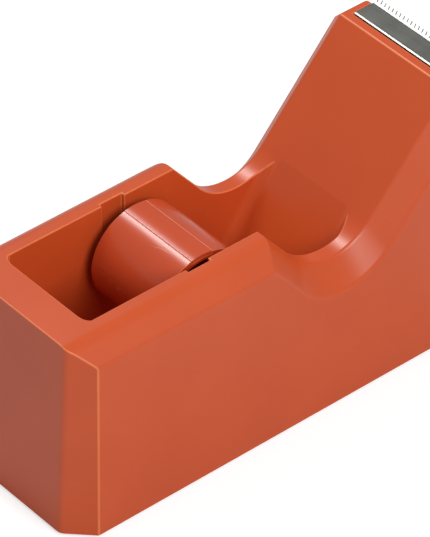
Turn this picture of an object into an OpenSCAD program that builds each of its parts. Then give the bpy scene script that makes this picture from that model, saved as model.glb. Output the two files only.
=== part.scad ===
// Desk tape dispenser: a moulded block with a well for the roll, a saddle,
// a raised neck with a serrated cutter, a lift-out hub and a weighted base.
// Lengths are in millimetres. +X runs from the rear rim to the cutter, +Z is up,
// and the origin is on the desk under the middle of the overall length.

/* [Housing] */
// Width across the two side walls
body_w = 46; // [40:1:60]
// Height of the flat rim above the housing's bottom edge
rim_h = 52.8; // [50:0.2:64]
// Rear rim to the foremost point of the toe, at the bottom edge
toe_x = 122.2; // [122:0.2:150]
// How far the rear face leans back between rim and bottom edge
rear_draft = 1.8; // [0.5:0.1:3]
// Corner chamfer of the upright edges, at rim height
corner_chamfer = 5; // [3:0.5:7]
// Extra corner chamfer at the bottom edge
corner_flare = 1.15; // [0.5:0.05:2]
// Bevel of the two long top edges
edge_bevel = 5; // [3:0.5:6]
// Thickness of the outer skin
skin = 2.6; // [2:0.1:3]

/* [Saddle and neck] */
// Rear rim to the peak where the side walls start to drop
peak_x = 56.8; // [54:0.2:64]
// Slope of the drop behind the saddle, in degrees
drop_angle = 50.8; // [46:0.2:56]
// Radius of the saddle's bottom
saddle_r = 14; // [10:0.5:16]
// Height of the head's flat top above the housing's bottom edge
head_h = 68.4; // [66:0.2:80]
// Rear rim to the top edge of the neck face
neck_top_x = 108.8; // [107:0.2:112]
// Slope of the neck face, in degrees
neck_angle = 48.2; // [47:0.2:49]
// How far the neck's bevel reaches down the side face
neck_bevel = 5.4; // [4:0.2:7]
// Rear rim to the front of the head
head_front_x = 117; // [116.6:0.2:119]
// Radius of the concave front face under the head
scoop_r = 60; // [50:1:90]

/* [Well] */
// Room between each end of the drum and the well's side wall
hub_side_room = 2.75; // [1.5:0.05:5]
// Extra width of the well at its rear, shared by the two walls
well_taper = 1.2; // [0:0.2:2]
// Thickness of the rear rim
rear_rim = 9; // [8:0.5:12]
// Height of the well's floor above the housing's bottom edge
floor_h = 7; // [6.5:0.5:8]
// Radius of the upright rear corners
well_corner_r = 3.5; // [2:0.5:6]
// Radius of the corners beside the well's front wall
front_corner_r = 3; // [2:0.5:5]
// Slope of the well's front wall, in degrees
well_angle = 54.5; // [52:0.5:57]
// Width of the guide slots in the side walls
slot_w = 6.2; // [4:0.2:7]
// Depth of the guide slots
slot_d = 0.9; // [0.6:0.1:1.4]
// Rear rim to the middle of the guide slots
slot_x = 39.6; // [38:0.2:41]

/* [Hub] */
// Diameter of the drum that carries the roll's core
drum_d = 25; // [23:0.1:25.2]
// Length of the drum along its axis
drum_w = 22.9; // [19:0.1:24]
// Thickness of the drum's wall
drum_wall = 1.8; // [1.4:0.1:2.6]
// Rear rim to the hub's axis, with the hub seated
hub_x = 43.4; // [42:0.2:45]
// Height of the hub's axis above the housing's bottom edge
hub_z = 39; // [37:0.2:40]
// Diameter of the axle
axle_d = 3; // [2:0.1:4]
// Radial clearance of the drum on the axle, and of the axle in its seats
running_gap = 0.05; // [0.02:0.01:0.1]
// Angle that the closing strip covers on the drum, in degrees
strip_angle = 27.5; // [20:0.5:34]

/* [Cutter] */
// Width of the cutter
cutter_w = 32.4; // [28:0.2:34]
// Thickness of the cutter's sheet steel
cutter_t = 0.5; // [0.4:0.05:0.8]
// Pitch of the cutter's teeth
tooth_pitch = 1.25; // [1:0.05:2]
// Length of the teeth
tooth_l = 1.3; // [1:0.1:2]
// Upward bend of the toothed edge, in degrees
tooth_bend = 25; // [15:1:35]

/* [Base] */
// How far the rubber feet stand proud of the housing
foot_proud = 0.6; // [0.4:0.1:1.2]
// Diameter of the rubber feet
foot_d = 9; // [7:0.5:12]
// Thickness of the base plate
plate_t = 1.8; // [1.4:0.1:2.4]
// Diameter of the base screws
screw_d = 3; // [2.5:0.1:3.5]

/* [Hidden] */

orange = [0.86, 0.33, 0.17];
dark_plastic = [0.12, 0.12, 0.13];
rubber = [0.08, 0.08, 0.08];
cast_iron = [0.32, 0.33, 0.35];
steel = [0.72, 0.72, 0.70];

// Room that a cut takes past a face, so that no two faces coincide
past = 1;
fit_gap = 0.2;
half_w = body_w / 2;
well_w = drum_w + 2 * hub_side_room;
well_half = well_w / 2;
sky = head_h + 6;
far_x = toe_x + 20;

// ---- the side walls' outline: rim, drop, saddle, neck and head, in X and Z ----

// Point where two lines cross, each given by a point and an angle
function crossing(p, a, q, b) =
    let (t = ((q.x - p.x) * sin(b) - (q.y - p.y) * cos(b)) / sin(b - a))
    [p.x + t * cos(a), p.y + t * sin(a)];

// A line's point moved sideways into the material by d
function inset_point(p, a, d) = [p.x + d * sin(a), p.y - d * cos(a)];

saddle_steps = 28;
peak_steps = 6;

// Points along an arc round a centre
function arc(centre, radius, from, to, steps) =
    [for (i = [0 : steps])
        let (a = from + (to - from) * i / steps)
        centre + radius * [cos(a), sin(a)]];

// The outline moved into the material by rim_in along the rim and the drop and by
// neck_in along the neck, with its peak and its saddle rounded
function side_outline(rim_in, neck_in, peak_r, valley_r) =
    let (
        rim_z = rim_h - rim_in,
        head_z = head_h - rim_in,
        drop_p = inset_point([peak_x, rim_h], -drop_angle, rim_in),
        neck_p = inset_point([neck_top_x, head_h], neck_angle, neck_in),
        peak = crossing([0, rim_z], 0, drop_p, -drop_angle),
        top = crossing([0, head_z], 0, neck_p, neck_angle),
        low = crossing(drop_p, -drop_angle, neck_p, neck_angle),
        opening = 180 - drop_angle - neck_angle,
        middle = (180 - drop_angle + neck_angle) / 2,
        reach = valley_r / sin(opening / 2),
        valley = low + reach * [cos(middle), sin(middle)],
        hill = peak - [peak_r * tan(drop_angle / 2), peak_r]
    )
    concat(
        [[-past - 10, rim_z]],
        arc(hill, peak_r, 90, 90 - drop_angle, peak_steps),
        arc(valley, valley_r, 270 - drop_angle, 270 + neck_angle, saddle_steps),
        [top, [far_x, head_z]]
    );

// Along the crease, and along the bevel's lower edge on the side face
crease_peak_r = 0.25;
lower_peak_r = 1;
lower_saddle_over = 2.6;
crease_outline = side_outline(0, 0, crease_peak_r, saddle_r);
lower_outline = side_outline(edge_bevel, neck_bevel, lower_peak_r, saddle_r + lower_saddle_over);
outline_count = len(crease_outline);
first_valley = peak_steps + 2;
last_valley = first_valley + saddle_steps;

// Share of the bevel that its rounded edges take up: soft on the rim, crisp along the neck
rim_softness = 0.36;
neck_softness = 0.09;
side_softness = 0.12;
function softness(i) =
    let (share = max(0, min(1, (i - first_valley) / saddle_steps)))
    rim_softness + (neck_softness - rim_softness) * max(share, sin(180 * min(share, 0.5)));

// Across the bevel: share of the way out to the side face, and share of its depth
edge_steps = 4;
side_graze = 0.004;
side_end = [1 + side_graze, 1 + side_softness];
function blend(p, q, r, t) = (1 - t) * (1 - t) * p + 2 * t * (1 - t) * q + t * t * r;
function bevel_section(soft) = concat(
    [for (k = [0 : edge_steps]) blend([-soft, 0], [0, 0], [soft, soft], k / edge_steps)],
    [for (k = [0 : edge_steps])
        blend([1 - side_softness, 1 - side_softness], [1, 1], side_end, k / edge_steps)],
    [[1 + past / edge_bevel, side_end.y]]
);
section_count = 2 * edge_steps + 3;

// Everything above the outline, spreading at the bevels towards the side faces
module above_outline() {
    closed = outline_count + 2;
    caps = [[far_x, sky], [-past - 10, sky]];
    crease = concat(crease_outline, caps);
    lower = concat(lower_outline, caps);
    shapes = [for (i = [0 : closed - 1]) bevel_section(softness(i))];
    half_points = [for (k = [0 : section_count - 1], i = [0 : closed - 1])
        let (across_share = shapes[i][k].x, depth_share = shapes[i][k].y)
        let (p = crease[i] + (lower[i] - crease[i]) * depth_share)
        [p.x, half_w - edge_bevel * (1 - across_share), p.y]];
    rows = 2 * section_count;
    points = [for (s = [0 : rows - 1], i = [0 : closed - 1])
        let (k = s < section_count ? section_count - 1 - s : s - section_count)
        let (p = half_points[k * closed + i])
        [p.x, s < section_count ? -p.y : p.y, p.z]];
    walls = [for (s = [0 : rows - 2], i = [0 : closed - 1], part = [0, 1])
        let (
            j = (i + 1) % closed,
            a = s * closed + i,
            b = s * closed + j,
            c = (s + 1) * closed + j,
            d = (s + 1) * closed + i
        )
        part == 0 ? [a, c, d] : [a, b, c]];
    ends = [
        [for (i = [closed - 1 : -1 : 0]) i],
        [for (i = [0 : closed - 1]) (rows - 1) * closed + i]
    ];
    polyhedron(points = points, faces = concat(walls, ends));
}

// ---- the block that the housing is carved from ----

corner_soft = 1.1;
corner_steps = 4;

// A corner of an outline, rounded between two points at the given distance from it
function soft_corner(a, b, c, reach) =
    let (p = b + (a - b) / norm(a - b) * reach, r = b + (c - b) / norm(c - b) * reach)
    [for (k = [0 : corner_steps]) blend(p, b, r, k / corner_steps)];

// Plan of the block at one height; the corners at the end faces are softened
function plan(rear, front, half, cut) =
    let (corners = [
        [rear, -half + cut], [rear + cut, -half], [front - cut, -half], [front, -half + cut],
        [front, half - cut], [front - cut, half], [rear + cut, half], [rear, half - cut]
    ])
    [for (i = [0 : 7])
        let (a = corners[(i + 7) % 8], b = corners[i], c = corners[(i + 1) % 8])
        let (on_end = i % 4 == 0 || i % 4 == 3)
        each on_end ? soft_corner(a, b, c, corner_soft) : [b]];

// A chamfered corner keeps its skin when its cut shrinks by this share of the inset
chamfer_share = 2 - sqrt(2);
function block_plan(z, inset) =
    let (
        down = 1 - z / rim_h,
        front = toe_x - (toe_x - head_front_x) * z / head_h,
        cut = corner_chamfer + corner_flare * down - inset * chamfer_share
    )
    plan(-rear_draft * down + inset, front - inset, half_w - inset, cut);

module block(inset, z0, z1) {
    low = block_plan(z0, inset);
    high = block_plan(z1, inset);
    count = len(low);
    points = concat([for (p = low) [p.x, p.y, z0]], [for (p = high) [p.x, p.y, z1]]);
    sides = [for (i = [0 : count - 1], part = [0, 1])
        let (j = (i + 1) % count)
        part == 0 ? [i, i + count, j + count] : [i, j + count, j]];
    bottom = [for (i = [0 : count - 1]) i];
    top = [for (i = [2 * count - 1 : -1 : count]) i];
    polyhedron(points = points, faces = concat(sides, [bottom, top]));
}

// The concave front face under the head
scoop_low = [toe_x - 1, 12];
scoop_high = [head_front_x + 0.2, head_h - 4.5];
scoop_mid = (scoop_low + scoop_high) / 2;
scoop_chord = norm(scoop_high - scoop_low);
scoop_lift = sqrt(scoop_r * scoop_r - scoop_chord * scoop_chord / 4);
scoop_side = [scoop_high.y - scoop_low.y, scoop_low.x - scoop_high.x] / scoop_chord;
scoop_centre = scoop_mid + scoop_lift * scoop_side;

module across(x, z, r, half) {
    translate([x, 0, z])
        rotate([90, 0, 0])
            cylinder(r = r, h = 2 * half, center = true, $fn = 180);
}

// ---- the well ----

// Where the well's front wall leaves the neck face
neck_face_x = 23;
well_top_x = neck_top_x - neck_face_x;
well_top_z = head_h - (neck_top_x - well_top_x) * tan(neck_angle);

// A strip from y = 0 upward with its two lower corners rounded
module rounded_strip(half, length, r) {
    translate([-half, r])
        square([2 * half, length - r]);
    translate([-half + r, 0])
        square([2 * half - 2 * r, 2 * r]);
    for (side = [-1, 1])
        translate([side * (half - r), r])
            circle(r = r, $fn = 64);
}

// Plan of the well's upright walls, narrowing from the rear towards the hub
module well_plan(grow) {
    x = rear_rim - grow;
    half = well_half + grow;
    wide = half + well_taper / 2;
    polygon(concat(
        soft_corner([x, wide], [x, -wide], [hub_x, -half], well_corner_r + grow),
        [[hub_x, -half], [far_x, -half], [far_x, half], [hub_x, half]],
        soft_corner([hub_x, half], [x, wide], [x, -wide], well_corner_r + grow)
    ));
}

module well(grow) {
    half = well_half + grow;
    intersection() {
        // upright walls with rounded rear corners
        translate([0, 0, floor_h - grow])
            linear_extrude(height = sky)
                well_plan(grow);
        // sloping front wall with rounded corners beside it
        translate([well_top_x, 0, well_top_z])
            rotate([0, 90 - well_angle, 0])
                translate([grow, 0, -far_x])
                    linear_extrude(height = 2 * far_x)
                        rotate([0, 0, 90])
                            rounded_strip(half, 2 * far_x, front_corner_r + grow);
    }
}

// Guide slot in a side wall: straight down from the rim, then forward to the seat
seat_r = axle_d / 2 + running_gap;
lift = [slot_x - hub_x, rim_h - hub_z];
lift_dir = lift / norm(lift);
slot_shift = [lift_dir.y, -lift_dir.x] * seat_r;
slot_foot_share = 0.6;
slot_foot = hub_z + slot_foot_share * (rim_h - hub_z);
slot_heel = 3;

module slot_outline() {
    seat = [hub_x, hub_z];
    polygon([seat - slot_shift, seat + slot_shift, seat + slot_shift + lift, seat - slot_shift + lift]);
    translate(seat)
        circle(r = seat_r, $fn = 48);
    translate([slot_x - slot_w / 2, slot_foot])
        square([slot_w, rim_h + past - slot_foot]);
    polygon([
        [slot_x - slot_w / 2, slot_foot], [slot_x + slot_w / 2, slot_foot],
        seat + slot_shift, seat - slot_shift, [slot_x - slot_w / 2, hub_z + slot_heel]
    ]);
}

module guide_slots() {
    rotate([90, 0, 0])
        linear_extrude(height = well_w + 2 * slot_d, center = true)
            slot_outline();
}

// ---- the underside ----

plate_up = 0.4;
plate_top = plate_up + plate_t;
boss_wall = 2.2;
boss_merge = 0.2;
boss_cap = 4;
boss_r = screw_d / 2 + boss_wall;
screw_l = 9;
head_over = 1.3;
head_r = screw_d / 2 + head_over;
thread_depth = 0.3;
pilot_r = screw_d / 2 - thread_depth;
rear_screw_in = 3;
front_screw_in = 9;
rear_screw_x = rear_rim + rear_screw_in;
front_screw_x = toe_x - skin - boss_r + boss_merge;
rear_screw_y = half_w - skin - 2 * fit_gap - head_r;
front_screw_y = half_w - front_screw_in;
screw_places = [
    [rear_screw_x, -rear_screw_y], [rear_screw_x, rear_screw_y],
    [front_screw_x, -front_screw_y], [front_screw_x, front_screw_y]
];

// Hollow of the housing in X and Z, a skin below the bevels' lower edge
head_solid = 9;
hollow_rim = rim_h - edge_bevel - skin;
hollow_saddle = min([for (p = lower_outline) p.y]) - skin;
hollow_head = head_h - head_solid;
module hollow_outline() {
    drop_p = inset_point([peak_x, rim_h], -drop_angle, neck_bevel + skin);
    neck_p = inset_point([neck_top_x, head_h], neck_angle, neck_bevel + skin);
    polygon([
        [-rear_draft, -past],
        [-rear_draft, hollow_rim],
        crossing([0, hollow_rim], 0, drop_p, -drop_angle),
        crossing([0, hollow_saddle], 0, drop_p, -drop_angle),
        crossing([0, hollow_saddle], 0, neck_p, neck_angle),
        crossing([0, hollow_head], 0, neck_p, neck_angle),
        [toe_x, hollow_head],
        [toe_x, -past]
    ]);
}

well_skin = 2.2;
module hollow() {
    difference() {
        intersection() {
            block(skin, -past, sky);
            rotate([90, 0, 0])
                linear_extrude(height = body_w, center = true)
                    hollow_outline();
        }
        well(well_skin);
        across(scoop_centre.x, scoop_centre.y, scoop_r + skin, half_w + past);
        for (p = screw_places)
            translate([p.x, p.y, plate_top])
                cylinder(r = boss_r, h = screw_l + boss_cap, $fn = 48);
    }
}

// Seat of the cutter in the head, a shallow recess with a slot for its flange
cutter_half = cutter_w / 2;
lip_setback = 3.4;
lip_x = neck_top_x + lip_setback;
lip_w = 0.75;
lip_tilt = 15.5;
flange_l = 3.6;
cutter_rise = 0.1;
cutter_top = head_h + cutter_rise;
cutter_back = lip_x - lip_w * cos(lip_tilt);
cutter_reach = 0.3;
cutter_front = head_front_x + cutter_reach;
seat_side = 0.15;
seat_behind = 0.4;
seat_ahead = 0.2;
seat_gap = 0.02;
seat_below = 0.1;
tooth_root = 0.5;
tooth_tip = 0.16;

module cutter_seat() {
    seat_half = cutter_half + seat_side;
    translate([cutter_back - seat_behind, -seat_half, cutter_top - cutter_t - seat_gap])
        cube([far_x, 2 * seat_half, past + cutter_t]);
    translate([cutter_back - seat_behind, -seat_half, cutter_top - flange_l - seat_below])
        cube([lip_x - cutter_back + seat_behind + seat_ahead, 2 * seat_half, flange_l]);
}

module housing() {
    color(orange)
        placed()
            difference() {
                block(0, 0, sky);
                above_outline();
                across(scoop_centre.x, scoop_centre.y, scoop_r, half_w + past);
                well(0);
                guide_slots();
                hollow();
                cutter_seat();
                for (p = screw_places)
                    translate([p.x, p.y, plate_top - past])
                        cylinder(r = pilot_r, h = screw_l + past, $fn = 32);
            }
}

// Puts a piece that is drawn from the rear rim and bottom edge into the object's frame
middle_x = (toe_x - rear_draft) / 2;
module placed() {
    translate([-middle_x, 0, foot_proud])
        children();
}

// ---- base plate, screws and feet ----

foot_sunk = 0.6;
foot_t = foot_sunk + plate_up + foot_proud;
foot_taper = 0.4;
foot_margin = 1.6;
pocket_gap = 0.05;
rear_foot_in = 12;
front_foot_in = 15;
rear_foot_x = rear_screw_x + rear_foot_in;
front_foot_x = front_screw_x - front_foot_in;
foot_y = half_w - skin - foot_margin - foot_d / 2;

head_t = 1.3;
head_gap = 0.1;
screw_gap = 0.15;

module base_plate() {
    color(dark_plastic)
        placed()
            difference() {
                block(skin + fit_gap, plate_up, plate_top);
                for (p = screw_places)
                    translate([p.x, p.y, plate_up - past]) {
                        cylinder(r = screw_d / 2 + screw_gap, h = plate_t + 2 * past, $fn = 32);
                        cylinder(r = head_r + head_gap, h = past + head_t, $fn = 48);
                    }
                for (x = [rear_foot_x, front_foot_x], side = [-1, 1])
                    translate([x, side * foot_y, plate_up - past])
                        cylinder(d = foot_d + 2 * pocket_gap, h = past + foot_sunk, $fn = 64);
            }
}

module base_screws() {
    color(steel)
        placed()
            for (p = screw_places)
                translate([p.x, p.y, plate_up])
                    base_screw();
}

recess_w = 0.6;
recess_share = 0.6;
module base_screw() {
    difference() {
        union() {
            cylinder(r = head_r, h = head_t, $fn = 48);
            cylinder(r = pilot_r, h = head_t + screw_l - past, $fn = 32);
        }
        // cross recess
        for (turn = [0, 90])
            rotate([0, 0, turn])
                translate([-head_r * recess_share, -recess_w / 2, -past])
                    cube([2 * head_r * recess_share, recess_w, past + head_t * recess_share]);
    }
}

module foot(x, y) {
    color(rubber)
        placed()
            translate([x, y, -foot_proud]) {
                cylinder(d1 = foot_d - 2 * foot_taper, d2 = foot_d, h = foot_taper, $fn = 64);
                translate([0, 0, foot_taper])
                    cylinder(d = foot_d, h = foot_t - foot_taper, $fn = 64);
            }
}

module foot_rear_left() foot(rear_foot_x, foot_y);
module foot_rear_right() foot(rear_foot_x, -foot_y);
module foot_front_left() foot(front_foot_x, foot_y);
module foot_front_right() foot(front_foot_x, -foot_y);

// ---- ballast ----

block_setback = 18;
block_clear = 4.5;
block_side = 1.5;
block_heel = 8;
block_back = well_top_x - block_setback;
block_front = front_screw_x - boss_r - block_clear;
block_headroom = 2.4;
block_h = hollow_saddle - plate_top - block_headroom;
block_half = half_w - skin - block_side;

module ballast_block() {
    slope_x = (block_h - block_heel) / tan(well_angle);
    color(cast_iron)
        placed()
            translate([0, 0, plate_top])
                rotate([90, 0, 0])
                    linear_extrude(height = 2 * block_half, center = true)
                        polygon([
                            [block_back, 0],
                            [block_front, 0],
                            [block_front, block_h],
                            [block_back + slope_x, block_h],
                            [block_back, block_heel]
                        ]);
}

// Sheet ballast between the base plate and the well's floor
sheet_side = 1;
sheet_end = 2;
sheet_gap = 0.3;
sheet_room = floor_h - well_skin - plate_top;
module ballast_plate() {
    sheet_half = well_half - sheet_side;
    sheet_l = block_back - rear_screw_x - boss_r - sheet_end;
    color(cast_iron)
        placed()
            translate([rear_screw_x + boss_r, -sheet_half, plate_top])
                cube([sheet_l, 2 * sheet_half, sheet_room - sheet_gap]);
}

// ---- cutter ----

bend_room = 0.3;
flange_drop = 0.1;
module cutter_section() {
    plate_z = cutter_top - cutter_t;
    translate([lip_x - bend_room, plate_z])
        square([cutter_front - lip_x + bend_room, cutter_t]);
    // polished lip, tilted down towards the neck
    translate([lip_x, cutter_top])
        rotate(180 + lip_tilt)
            square([lip_w, cutter_t]);
    translate([cutter_back, cutter_top - flange_l])
        square([cutter_t, flange_l - lip_w * sin(lip_tilt) - flange_drop]);
    translate([cutter_front, plate_z])
        rotate(tooth_bend)
            square([tooth_l + tooth_root, cutter_t]);
}

module cutter() {
    teeth = floor(cutter_w / tooth_pitch);
    first = -teeth * tooth_pitch / 2;
    gap_half = (tooth_pitch - tooth_tip) / 2;
    color(steel)
        placed()
            difference() {
                rotate([90, 0, 0])
                    linear_extrude(height = cutter_w, center = true)
                        cutter_section();
                // gaps between the teeth
                translate([cutter_front, 0, cutter_top - cutter_t])
                    rotate([0, -tooth_bend, 0])
                        for (i = [0 : teeth])
                            translate([tooth_root, first + i * tooth_pitch, -past])
                                linear_extrude(height = 2 * past + cutter_t)
                                    polygon([
                                        [0, 0],
                                        [tooth_l, -gap_half],
                                        [tooth_l + past, -gap_half],
                                        [tooth_l + past, gap_half],
                                        [tooth_l, gap_half]
                                    ]);
            }
}

// ---- hub ----

drum_r = drum_d / 2;
web_t = 2;
hub_boss_wall = 1.8;
hub_boss_r = axle_d / 2 + hub_boss_wall;
strip_t = 0.9;
strip_mid = 89.75;
strip_under = 0.01;
strip_below = 0.02;
strip_end = 0.05;
seam_gap = 0.06;
collar_t = 1;
collar_gap = 0.15;
collar_grip = 0.01;
axle_end_gap = 0.15;

// Puts a piece drawn round the Z axis, with X forward, on the hub's axis
module on_hub() {
    placed()
        translate([hub_x, 0, hub_z])
            rotate([90, 0, 0])
                children();
}

// Ring sector from radius r0 to r1, half an angle each way from the strip's middle
module sector(r0, r1, half_angle, length) {
    wide = 2 * r1;
    intersection() {
        difference() {
            cylinder(r = r1, h = length, center = true, $fn = 96);
            cylinder(r = r0, h = length + 2 * past, center = true, $fn = 96);
        }
        linear_extrude(height = length, center = true)
            polygon([
                [0, 0],
                wide * [cos(strip_mid - half_angle), sin(strip_mid - half_angle)],
                wide * [cos(strip_mid), sin(strip_mid)],
                wide * [cos(strip_mid + half_angle), sin(strip_mid + half_angle)]
            ]);
    }
}

module hub_drum() {
    color(orange)
        on_hub()
            difference() {
                cylinder(r = drum_r, h = drum_w, center = true, $fn = 128);
                for (side = [-1, 1])
                    translate([0, 0, side * (drum_w / 2 + web_t / 2)])
                        difference() {
                            cylinder(r = drum_r - drum_wall, h = drum_w, center = true, $fn = 96);
                            cylinder(r = hub_boss_r, h = drum_w + past, center = true, $fn = 48);
                        }
                cylinder(r = axle_d / 2 + running_gap, h = drum_w + 2 * past, center = true, $fn = 48);
                sector(drum_r - strip_t, drum_r + past, strip_angle / 2, drum_w + past);
            }
}

module hub_strip() {
    strip_half = strip_angle / 2 - asin(seam_gap / drum_r);
    color(orange)
        on_hub()
            sector(drum_r - strip_t + strip_under, drum_r - strip_below, strip_half, drum_w - 2 * strip_end);
}

axle_l = well_w + 2 * slot_d - 2 * axle_end_gap;
module hub_axle() {
    color(steel)
        on_hub()
            cylinder(r = axle_d / 2, h = axle_l, center = true, $fn = 48);
}

module axle_collars() {
    color(dark_plastic)
        on_hub()
            for (side = [-1, 1])
                translate([0, 0, side * (drum_w / 2 + collar_gap + collar_t / 2)])
                    difference() {
                        cylinder(r = hub_boss_r, h = collar_t, center = true, $fn = 48);
                        cylinder(r = axle_d / 2 + collar_grip, h = collar_t + past, center = true, $fn = 48);
                    }
}

housing();
base_plate();
base_screws();
foot_rear_left();
foot_rear_right();
foot_front_left();
foot_front_right();
ballast_block();
ballast_plate();
cutter();
hub_drum();
hub_strip();
hub_axle();
axle_collars();
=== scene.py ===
"""Looks of a desk tape dispenser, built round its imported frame. Lengths are in metres."""
import math

import bpy
from mathutils import Matrix, Vector


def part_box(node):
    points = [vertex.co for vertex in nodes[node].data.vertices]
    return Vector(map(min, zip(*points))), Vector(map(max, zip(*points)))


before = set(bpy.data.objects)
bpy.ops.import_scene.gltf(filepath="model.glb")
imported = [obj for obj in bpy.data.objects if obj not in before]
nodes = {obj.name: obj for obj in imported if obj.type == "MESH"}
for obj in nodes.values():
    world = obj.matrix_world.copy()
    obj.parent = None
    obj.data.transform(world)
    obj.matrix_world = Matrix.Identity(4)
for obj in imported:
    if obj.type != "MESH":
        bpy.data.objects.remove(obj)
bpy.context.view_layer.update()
MM = 0.001
WHITE = (1.0, 1.0, 1.0, 1.0)

# ---- camera ----

CAMERA_AZIMUTH = math.radians(-40.27)
CAMERA_ELEVATION = math.radians(39.62)
CAMERA_ROLL = math.radians(0.08)
CAMERA_DISTANCE = 1.1228
CAMERA_LENS = 339.35
CAMERA_SENSOR = 36.0
CAMERA_CLIP = (0.05, 20.0)
AIM_FROM_REAR = 0.05874
AIM_ASIDE = 0.00011
AIM_HEIGHT = 0.03372


def make_camera():
    """Long lens, looking down on the rear near corner."""
    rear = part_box("housing")[0].x
    aim = Vector((rear + AIM_FROM_REAR, AIM_ASIDE, AIM_HEIGHT))
    back = Vector((
        math.sin(CAMERA_AZIMUTH) * math.cos(CAMERA_ELEVATION),
        -math.cos(CAMERA_AZIMUTH) * math.cos(CAMERA_ELEVATION),
        math.sin(CAMERA_ELEVATION),
    ))
    data = bpy.data.cameras.new("camera")
    data.lens = CAMERA_LENS
    data.sensor_width = CAMERA_SENSOR
    data.clip_start, data.clip_end = CAMERA_CLIP
    camera = bpy.data.objects.new("camera", data)
    bpy.context.collection.objects.link(camera)
    camera.location = aim + back * CAMERA_DISTANCE
    turn = back.to_track_quat("Z", "Y").to_matrix().to_4x4()
    roll = turn @ Matrix.Rotation(CAMERA_ROLL, 4, "Z")
    camera.rotation_euler = roll.to_euler()
    bpy.context.scene.camera = camera


# ---- light and floor ----

# name, direction from the object, width, length along the world's Y, radiance
SOFT_BOXES = (
    ("over_light", (0.085, 0.588, 0.809), 0.17, 0.40, 16.0),
    ("near_light", (-0.09, -0.78, 0.63), 0.50, 0.42, 7.0),
)
LIGHT_DISTANCE = 0.9
LIGHT_AIM_HEIGHT = 0.03
WORLD_STRENGTH = 0.36
FLOOR_REACH = 3.0
FLOOR_DROP = 0.0001
FLOOR_TONE = (0.62, 0.62, 0.62, 1.0)
FLOOR_ROUGHNESS = 0.9
FLOOR_GLOW = 0.62


def make_light():
    """Two rectangular softboxes that face the object, in an even white room."""
    for name, direction, width, length, radiance in SOFT_BOXES:
        data = bpy.data.lights.new(name, "AREA")
        data.shape = "RECTANGLE"
        data.size = width
        data.size_y = length
        data.energy = radiance * math.pi * width * length
        light = bpy.data.objects.new(name, data)
        bpy.context.collection.objects.link(light)
        toward = Vector(direction).normalized()
        light.location = toward * LIGHT_DISTANCE + Vector((0, 0, LIGHT_AIM_HEIGHT))
        light.rotation_euler = toward.to_track_quat("Z", "Y").to_euler()
    world = bpy.data.worlds.new("studio")
    world.use_nodes = True
    background = world.node_tree.nodes["Background"]
    background.inputs["Color"].default_value = WHITE
    background.inputs["Strength"].default_value = WORLD_STRENGTH
    bpy.context.scene.world = world
    bpy.context.scene.view_settings.view_transform = "Standard"


def make_floor():
    """A white sweep: matte to the object, and blown out where it is seen directly."""
    mesh = bpy.data.meshes.new("floor")
    corners = [(-FLOOR_REACH, -FLOOR_REACH, 0), (FLOOR_REACH, -FLOOR_REACH, 0),
               (FLOOR_REACH, FLOOR_REACH, 0), (-FLOOR_REACH, FLOOR_REACH, 0)]
    mesh.from_pydata(corners, [], [(0, 1, 2, 3)])
    floor = bpy.data.objects.new("floor", mesh)
    bpy.context.collection.objects.link(floor)
    floor.location.z = -FLOOR_DROP
    material, tree, shader = new_material("floor_white")
    shader["Base Color"].default_value = FLOOR_TONE
    shader["Roughness"].default_value = FLOOR_ROUGHNESS
    shader["Emission Color"].default_value = WHITE
    path = tree.nodes.new("ShaderNodeLightPath")
    seen = number(tree, "MULTIPLY", path.outputs["Is Camera Ray"], FLOOR_GLOW)
    put(tree, shader["Emission Strength"], seen)
    mesh.materials.append(material)


# ---- node helpers ----


def new_material(name):
    """A node material, its tree, and the inputs of its shader."""
    material = bpy.data.materials.new(name)
    material.use_nodes = True
    return material, material.node_tree, material.node_tree.nodes["Principled BSDF"].inputs


def put(tree, socket, value):
    """Links an output to a socket, or sets the socket's own value."""
    if isinstance(value, bpy.types.NodeSocket):
        tree.links.new(value, socket)
    else:
        socket.default_value = value


def number(tree, operation, a, b=0.0, c=0.0):
    maths = tree.nodes.new("ShaderNodeMath")
    maths.operation = operation
    for socket, value in zip(maths.inputs, (a, b, c)):
        put(tree, socket, value)
    return maths.outputs[0]


def dot(tree, a, b):
    maths = tree.nodes.new("ShaderNodeVectorMath")
    maths.operation = "DOT_PRODUCT"
    put(tree, maths.inputs[0], a)
    put(tree, maths.inputs[1], b)
    return maths.outputs["Value"]


def part_of(tree, place, axis):
    """One coordinate, X, Y or Z, of a vector."""
    parts = tree.nodes.new("ShaderNodeSeparateXYZ")
    put(tree, parts.inputs[0], place)
    return parts.outputs[axis]


def remap(tree, value, low, high, to_low=0.0, to_high=1.0, smooth=False):
    spread = tree.nodes.new("ShaderNodeMapRange")
    spread.interpolation_type = "SMOOTHSTEP" if smooth else "LINEAR"
    for socket, item in zip(spread.inputs, (value, low, high, to_low, to_high)):
        put(tree, socket, item)
    return spread.outputs["Result"]


def noise(tree, place, scale, detail, roughness=0.5):
    cloud = tree.nodes.new("ShaderNodeTexNoise")
    put(tree, cloud.inputs["Vector"], place)
    put(tree, cloud.inputs["Scale"], scale)
    cloud.inputs["Detail"].default_value = detail
    cloud.inputs["Roughness"].default_value = roughness
    return cloud.outputs["Fac"]


def stretch(tree, place, scale, turned=(0.0, 0.0, 0.0)):
    mapping = tree.nodes.new("ShaderNodeMapping")
    put(tree, mapping.inputs["Vector"], place)
    mapping.inputs["Rotation"].default_value = turned
    mapping.inputs["Scale"].default_value = scale
    return mapping.outputs["Vector"]


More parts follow.
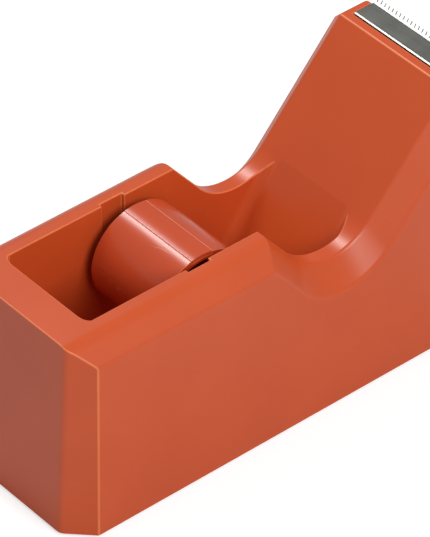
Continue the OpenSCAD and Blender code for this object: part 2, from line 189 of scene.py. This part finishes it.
def mix_colour(tree, share, a, b):
    """Colour a where the share is 0, and colour b where it is 1."""
    mixer = tree.nodes.new("ShaderNodeMix")
    mixer.data_type = "RGBA"
    colour_mix = [socket for socket in mixer.inputs if socket.type == "RGBA"]
    put(tree, mixer.inputs[0], share)
    put(tree, colour_mix[0], a)
    put(tree, colour_mix[1], b)
    return next(socket for socket in mixer.outputs if socket.type == "RGBA")


def bump(tree, height, strength, distance, normal=None):
    bumper = tree.nodes.new("ShaderNodeBump")
    bumper.inputs["Strength"].default_value = strength
    bumper.inputs["Distance"].default_value = distance
    put(tree, bumper.inputs["Height"], height)
    if normal is not None:
        put(tree, bumper.inputs["Normal"], normal)
    return bumper.outputs["Normal"]


def object_place(tree):
    return tree.nodes.new("ShaderNodeTexCoord").outputs["Object"]


# ---- effects shared by several finishes ----

FLOAT = "NodeSocketFloat"
VECTOR = "NodeSocketVector"
# part of a noise's run that a cloud spans
CLOUD_SPAN = (0.22, 0.78)
SMEAR_STRETCH = (1.0, 0.35, 0.6)
SMEAR_SCALE = 70.0
# cosine between the rounded and the true normal: on a flat, and on an edge
EDGE_SPAN = (0.995, 0.90)
EDGE_SAMPLES = 6
RUBBED_SPAN = (0.48, 0.62)
# how each family of hairlines is stretched and turned
HAIR_FAMILIES = (
    ((1.0, 0.03, 0.12), (0.5, 0.3, 0.5)),
    ((1.0, 0.04, 0.15), (-0.9, -0.54, -0.9)),
)
HAIR_HALF_WIDTH = 0.006
HAIR_PATCH_SCALE = 90.0
HAIR_PATCH_SPAN = (0.5, 0.62)


def new_group(name, inputs, outputs):
    """A shader node group; inputs are (name, value), outputs are (name, socket type)."""
    tree = bpy.data.node_groups.new(name, "ShaderNodeTree")
    for label, value in inputs:
        socket = tree.interface.new_socket(label, in_out="INPUT", socket_type=FLOAT)
        socket.default_value = value
    for label, kind in outputs:
        tree.interface.new_socket(label, in_out="OUTPUT", socket_type=kind)
    entry = tree.nodes.new("NodeGroupInput")
    leave = tree.nodes.new("NodeGroupOutput")
    return tree, entry.outputs, leave.inputs


def make_mould_skin():
    """The skin of a moulded or cast face: long ripples, a fine grain and cloudy colour."""
    tree, given, out = new_group(
        "mould_skin",
        [("Ripple Scale", 120.0), ("Grain Scale", 1500.0), ("Grain Share", 0.3),
         ("Cloud Scale", 40.0)],
        [("Height", FLOAT), ("Cloud", FLOAT), ("Gloss", FLOAT)],
    )
    place = object_place(tree)
    ripple = noise(tree, place, given["Ripple Scale"], detail=1.0)
    grain = noise(tree, place, given["Grain Scale"], detail=2.0, roughness=0.6)
    cloud = noise(tree, place, given["Cloud Scale"], detail=3.0, roughness=0.55)
    fine = number(tree, "MULTIPLY", grain, given["Grain Share"])
    put(tree, out["Height"], number(tree, "ADD", ripple, fine))
    put(tree, out["Cloud"], remap(tree, cloud, *CLOUD_SPAN, smooth=True))
    smeared = stretch(tree, place, SMEAR_STRETCH)
    put(tree, out["Gloss"], noise(tree, smeared, SMEAR_SCALE, detail=1.0))
    return tree


def make_edge_line():
    """Finds the edges of a piece, and the stretches of them that handling has rubbed."""
    tree, given, out = new_group(
        "edge_line",
        [("Radius", 0.4 * MM), ("Patch Scale", 180.0)],
        [("Normal", VECTOR), ("Rubbed", FLOAT)],
    )
    round_off = tree.nodes.new("ShaderNodeBevel")
    round_off.samples = EDGE_SAMPLES
    put(tree, round_off.inputs["Radius"], given["Radius"])
    face = tree.nodes.new("ShaderNodeNewGeometry")
    match = dot(tree, round_off.outputs["Normal"], face.outputs["Normal"])
    edge = remap(tree, match, *EDGE_SPAN)
    patch = noise(tree, object_place(tree), given["Patch Scale"], detail=4.0, roughness=0.6)
    put(tree, out["Normal"], round_off.outputs["Normal"])
    put(tree, out["Rubbed"], number(tree, "MULTIPLY", edge, remap(tree, patch, *RUBBED_SPAN)))
    return tree


def make_hairlines():
    """Hairline scratches: thin ridges of stretched noise, kept to a few patches."""
    tree, given, out = new_group(
        "hairlines",
        [("Scale", 300.0), ("Share", 0.5)],
        [("Line", FLOAT)],
    )
    place = object_place(tree)
    families = []
    for stretched, turned in HAIR_FAMILIES:
        ridge = noise(tree, stretch(tree, place, stretched, turned), given["Scale"], detail=0.0)
        offset = number(tree, "ABSOLUTE", number(tree, "SUBTRACT", ridge, 0.5))
        families.append(remap(tree, offset, 0.0, HAIR_HALF_WIDTH, 1.0, 0.0))
    patch = remap(tree, noise(tree, place, HAIR_PATCH_SCALE, detail=2.0), *HAIR_PATCH_SPAN)
    lines = number(tree, "MULTIPLY", number(tree, "MAXIMUM", *families), patch)
    put(tree, out["Line"], number(tree, "MULTIPLY", lines, given["Share"]))
    return tree


def make_turn_line():
    """A line along a turned piece at one angle round its axis, which runs along Y."""
    tree, given, out = new_group(
        "turn_line",
        [("Axis X", 0.0), ("Axis Z", 0.0), ("Angle", 0.0), ("Width", 0.01)],
        [("Line", FLOAT)],
    )
    place = object_place(tree)
    x = number(tree, "SUBTRACT", part_of(tree, place, "X"), given["Axis X"])
    z = number(tree, "SUBTRACT", part_of(tree, place, "Z"), given["Axis Z"])
    turn = number(tree, "ARCTAN2", z, x)
    away = number(tree, "ABSOLUTE", number(tree, "SUBTRACT", turn, given["Angle"]))
    put(tree, out["Line"], remap(tree, away, 0.0, given["Width"], 1.0, 0.0, smooth=True))
    return tree


EFFECTS = {
    "skin": make_mould_skin(),
    "edge": make_edge_line(),
    "hair": make_hairlines(),
    "turn": make_turn_line(),
}


def use(tree, effect, **values):
    """Places a shared effect in a material; an underscore in a keyword stands for a space."""
    placed = tree.nodes.new("ShaderNodeGroup")
    placed.node_tree = EFFECTS[effect]
    for label, value in values.items():
        put(tree, placed.inputs[label.replace("_", " ")], value)
    return placed.outputs


# ---- finishes ----


def colour(red, green, blue):
    return (red, green, blue, 1.0)


def grey(tone):
    return (tone, tone, tone, 1.0)


# each pair of tones is the deep and the full one, mixed by the cloud
SHELL_TONES = (colour(0.61, 0.083, 0.018), colour(0.655, 0.094, 0.022))
HUB_TONES = (colour(0.55, 0.068, 0.020), colour(0.60, 0.082, 0.025))
# the rounded edges are paler than the faces: a painted highlight along each edge
EDGE_HIGHLIGHT_TONES = (colour(0.76, 0.15, 0.045), colour(0.82, 0.20, 0.065))
# paler orange: wear in the hairline scuffs, and a painted highlight on a rising mould line
ORANGE_SCUFF_AND_HIGHLIGHT = colour(0.85, 0.26, 0.10)
# near black: painted shade in a sunken mould line
ORANGE_GROOVE_SHADE = colour(0.10, 0.008, 0.002)
PLASTIC_IOR = 1.49
PLASTIC_GLOSS_SPREAD = 0.09
HAIR_DEPTH = -0.5
HAIR_PALING = 0.3
HAIR_DULLING = 0.2

PLATE_TONES = (colour(0.25, 0.25, 0.228), colour(0.34, 0.34, 0.312))
# a lighter tone on the rear lip: a painted highlight
LIP_HIGHLIGHT_TONE = colour(0.42, 0.42, 0.41)
# the faces of the blade by the X of their normal: from the flat plate to its rear lip, which is
# painted lighter as a highlight
LIP_SPAN = (-0.125, -0.25)
LIP_END_SPAN = (-0.5, -0.4)
DRAWN_STRETCH = (1.0, 0.02, 1.0)
DRAWN_SCALE = 2600.0
DRAWN_ROUGHNESS = (0.27, 0.42)
STEEL_WORN = colour(0.85, 0.84, 0.8)
STEEL_DEEP = 0.7

BLACK_TONES = (colour(0.010, 0.010, 0.011), colour(0.018, 0.018, 0.019))
BLACK_WORN = grey(0.09)
RUBBER_TONES = (grey(0.014), colour(0.03, 0.03, 0.029))
RUBBER_LINT = colour(0.11, 0.105, 0.1)
IRON_TONES = (colour(0.05, 0.05, 0.052), colour(0.11, 0.11, 0.112))
RUST_TONE = colour(0.15, 0.05, 0.02)
RUST_SPAN = (0.55, 0.75)
RUST_SCALE = 130.0


def rough(tree, skin, least, spread):
    """Roughness that runs with the smears of a skin."""
    return number(tree, "MULTIPLY_ADD", skin["Gloss"], spread, least)


def orange_plastic(name, tones, roughness, ripple_depth, scuffs=0.0, lines=()):
    """Glossy moulded plastic. lines are (axis, angle, width, rise, strength) of the marks
    along a turned piece; one that rises is painted pale as a highlight on its step, and one
    that sinks is painted dark as shade in its groove."""
    material, tree, shader = new_material(name)
    skin = use(tree, "skin", Ripple_Scale=150.0, Grain_Scale=1800.0, Grain_Share=0.22,
               Cloud_Scale=35.0)
    tint = mix_colour(tree, skin["Cloud"], *tones)
    height = skin["Height"]
    least = roughness - PLASTIC_GLOSS_SPREAD / 2
    dull = rough(tree, skin, least, PLASTIC_GLOSS_SPREAD)
    if scuffs:
        hair = use(tree, "hair", Scale=700.0, Share=scuffs)
        height = number(tree, "MULTIPLY_ADD", hair["Line"], HAIR_DEPTH, height)
        paling = number(tree, "MULTIPLY", hair["Line"], HAIR_PALING)
        tint = mix_colour(tree, paling, tint, ORANGE_SCUFF_AND_HIGHLIGHT)
        dull = number(tree, "MULTIPLY_ADD", hair["Line"], HAIR_DULLING, dull)
    for axis, angle, width, rise, strength in lines:
        mark = use(tree, "turn", Axis_X=axis[0], Axis_Z=axis[1], Angle=angle, Width=width)
        height = number(tree, "MULTIPLY_ADD", mark["Line"], rise, height)
        # a sunken line is painted dark as shade, a rising one pale as a highlight
        painted_line_light = ORANGE_GROOVE_SHADE if rise < 0 else ORANGE_SCUFF_AND_HIGHLIGHT
        tint = mix_colour(tree, number(tree, "MULTIPLY", mark["Line"], strength), tint, painted_line_light)
    put(tree, shader["Base Color"], tint)
    put(tree, shader["Roughness"], dull)
    put(tree, shader["Normal"], bump(tree, height, ripple_depth, 0.1 * MM))
    shader["IOR"].default_value = PLASTIC_IOR
    return material


def painted_highlight_edge(name, roughness):
    """The plastic on a rounded edge, painted paler than the face as a highlight line, more so
    in patches.
    """
    material, tree, shader = new_material(name)
    skin = use(tree, "skin", Ripple_Scale=420.0, Grain_Scale=2400.0, Grain_Share=0.4,
               Cloud_Scale=110.0)
    put(tree, shader["Base Color"], mix_colour(tree, skin["Cloud"], *EDGE_HIGHLIGHT_TONES))
    put(tree, shader["Roughness"], rough(tree, skin, roughness, 0.10))
    put(tree, shader["Normal"], bump(tree, skin["Height"], 0.05, 0.05 * MM))
    shader["IOR"].default_value = PLASTIC_IOR
    return material


def rolled_steel():
    """Cold-rolled strip: drawn lines across it, a rear lip painted lighter as a highlight, a
    dull plate.
    """
    material, tree, shader = new_material("rolled_steel")
    place = object_place(tree)
    drawn = noise(tree, stretch(tree, place, DRAWN_STRETCH), DRAWN_SCALE, detail=3.0,
                  roughness=0.6)
    cloud = noise(tree, place, 160.0, detail=3.0, roughness=0.6)
    hair = use(tree, "hair", Scale=500.0, Share=0.8)
    face = tree.nodes.new("ShaderNodeNewGeometry")
    lean = part_of(tree, face.outputs["Normal"], "X")
    lip = number(tree, "MULTIPLY", remap(tree, lean, *LIP_SPAN),
                 remap(tree, lean, *LIP_END_SPAN))
    plate = mix_colour(tree, remap(tree, cloud, 0.3, 0.7), *PLATE_TONES)
    put(tree, shader["Base Color"], mix_colour(tree, lip, plate, LIP_HIGHLIGHT_TONE))
    shader["Metallic"].default_value = 1.0
    dull = remap(tree, drawn, 0.25, 0.75, *DRAWN_ROUGHNESS)
    scratched = number(tree, "MULTIPLY_ADD", hair["Line"], 0.15, dull)
    put(tree, shader["Roughness"], number(tree, "MULTIPLY_ADD", lip, 0.08, scratched))
    put(tree, shader["Normal"], bump(tree, drawn, 0.25, 0.02 * MM))
    return material


def turned_steel(name, tone, roughness):
    """Zinc-plated or turned steel, dull in patches, bright on its edges."""
    material, tree, shader = new_material(name)
    skin = use(tree, "skin", Ripple_Scale=700.0, Grain_Scale=4000.0, Grain_Share=0.5,
               Cloud_Scale=260.0)
    edge = use(tree, "edge", Radius=0.15 * MM, Patch_Scale=500.0)
    deep = colour(tone * STEEL_DEEP, tone * STEEL_DEEP, tone * 0.68)
    body = mix_colour(tree, skin["Cloud"], deep, colour(tone, tone, tone * 0.96))
    put(tree, shader["Base Color"], mix_colour(tree, edge["Rubbed"], body, STEEL_WORN))
    shader["Metallic"].default_value = 1.0
    put(tree, shader["Roughness"], rough(tree, skin, roughness, 0.2))
    put(tree, shader["Normal"], bump(tree, skin["Height"], 0.2, 0.03 * MM, edge["Normal"]))
    return material


def black_plastic():
    """Spark-textured black plate, greyed on its rubbed edges and in its scratches."""
    material, tree, shader = new_material("black_textured")
    skin = use(tree, "skin", Ripple_Scale=900.0, Grain_Scale=2600.0, Grain_Share=0.9,
               Cloud_Scale=60.0)
    edge = use(tree, "edge", Radius=0.3 * MM, Patch_Scale=240.0)
    hair = use(tree, "hair", Scale=200.0, Share=0.9)
    body = mix_colour(tree, skin["Cloud"], *BLACK_TONES)
    worn = number(tree, "MAXIMUM", number(tree, "MULTIPLY", edge["Rubbed"], 0.5),
                  number(tree, "MULTIPLY", hair["Line"], 0.3))
    put(tree, shader["Base Color"], mix_colour(tree, worn, body, BLACK_WORN))
    put(tree, shader["Roughness"], rough(tree, skin, 0.42, 0.14))
    put(tree, shader["Normal"], bump(tree, skin["Height"], 0.5, 0.08 * MM, edge["Normal"]))
    return material


def foot_rubber():
    """Soft rubber, matte, with lint grey on its rim."""
    material, tree, shader = new_material("foot_rubber")
    skin = use(tree, "skin", Ripple_Scale=400.0, Grain_Scale=3000.0, Grain_Share=1.0,
               Cloud_Scale=150.0)
    edge = use(tree, "edge", Radius=0.4 * MM, Patch_Scale=300.0)
    body = mix_colour(tree, skin["Cloud"], *RUBBER_TONES)
    put(tree, shader["Base Color"], mix_colour(tree, edge["Rubbed"], body, RUBBER_LINT))
    put(tree, shader["Roughness"], rough(tree, skin, 0.72, 0.15))
    put(tree, shader["Normal"], bump(tree, skin["Height"], 0.4, 0.06 * MM, edge["Normal"]))
    return material


def cast_iron():
    """Sand-cast ballast with a thin bloom of rust, which is not metallic."""
    material, tree, shader = new_material("cast_iron")
    skin = use(tree, "skin", Ripple_Scale=500.0, Grain_Scale=2200.0, Grain_Share=1.2,
               Cloud_Scale=90.0)
    rust = noise(tree, object_place(tree), RUST_SCALE, detail=6.0, roughness=0.7)
    body = mix_colour(tree, skin["Cloud"], *IRON_TONES)
    bloom = remap(tree, rust, *RUST_SPAN, 0.0, 0.6)
    put(tree, shader["Base Color"], mix_colour(tree, bloom, body, RUST_TONE))
    put(tree, shader["Metallic"], remap(tree, rust, *RUST_SPAN, 0.8, 0.1))
    put(tree, shader["Roughness"], rough(tree, skin, 0.5, 0.2))
    put(tree, shader["Normal"], bump(tree, skin["Height"], 0.8, 0.2 * MM))
    return material


# ---- dressing the frame ----

SPLIT_ANGLE = math.radians(103.5)
STRIP_ANGLE = math.radians(76.0)
LINE_WIDTH = 0.010
WELD_GAP = 0.004 * MM
FLAT_ANGLE = math.radians(0.4)
SHARP_ANGLE = math.radians(24)
EDGE_SEGMENTS = 2
NORMAL_WEIGHT = 60


def dress(node, *materials):
    """Gives a node its finish, and after it the finish of its rounded edges, which paints a
    highlight along them.
    """
    slots = nodes[node].data.materials
    slots.clear()
    for material in materials:
        slots.append(material)


def soften(node, width):
    """Rounds the sharp edges of a piece with two finishes and smooths its faces; flats
    stay flat, and the rounded edges take the second finish, which paints a highlight along
    them."""
    piece = nodes[node]
    weld = piece.modifiers.new("weld", "WELD")
    weld.merge_threshold = WELD_GAP
    flats = piece.modifiers.new("flats", "DECIMATE")
    flats.decimate_type = "DISSOLVE"
    flats.angle_limit = FLAT_ANGLE
    bevel = piece.modifiers.new("round", "BEVEL")
    bevel.width = width
    bevel.segments = EDGE_SEGMENTS
    bevel.limit_method = "ANGLE"
    bevel.angle_limit = SHARP_ANGLE
    bevel.use_clamp_overlap = False
    bevel.material = 1
    weighted = piece.modifiers.new("normals", "WEIGHTED_NORMAL")
    weighted.mode = "FACE_AREA_WITH_ANGLE"
    weighted.weight = NORMAL_WEIGHT
    for face in piece.data.polygons:
        face.use_smooth = True


def hub_lines():
    """Mould lines of the hub: the split of its mould, painted dark as shade in its groove, and
    the far edge of its strip, painted pale as a highlight.
    """
    low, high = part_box("hub_drum")
    axis = ((low.x + high.x) / 2, (low.z + high.z) / 2)
    return [(axis, SPLIT_ANGLE, LINE_WIDTH, -0.9, 0.30),
            (axis, STRIP_ANGLE, LINE_WIDTH, 1.2, 0.35)]


make_camera()
make_light()
make_floor()
shell_orange = orange_plastic("shell_orange", SHELL_TONES, 0.315, 0.05)
hub_orange = orange_plastic("hub_orange", HUB_TONES, 0.23, 0.12, 0.9, hub_lines())
blade_steel = rolled_steel()
axle_steel = turned_steel("axle_steel", 0.5, 0.25)
screw_steel = turned_steel("screw_steel", 0.42, 0.3)
plate_black = black_plastic()
rubber = foot_rubber()
iron = cast_iron()

dress("housing", shell_orange, painted_highlight_edge("shell_edge_highlight", 0.33))
dress("hub_drum", hub_orange, painted_highlight_edge("hub_edge_highlight", 0.2))
dress("hub_strip", hub_orange)
dress("hub_axle", axle_steel)
dress("axle_collars", axle_steel)
dress("cutter", blade_steel)
dress("base_plate", plate_black)
dress("base_screws", screw_steel)
for foot in ("foot_rear_left", "foot_rear_right", "foot_front_left", "foot_front_right"):
    dress(foot, rubber)
for weight in ("ballast_block", "ballast_plate"):
    dress(weight, iron)
soften("housing", 0.28 * MM)
soften("hub_drum", 0.12 * MM)
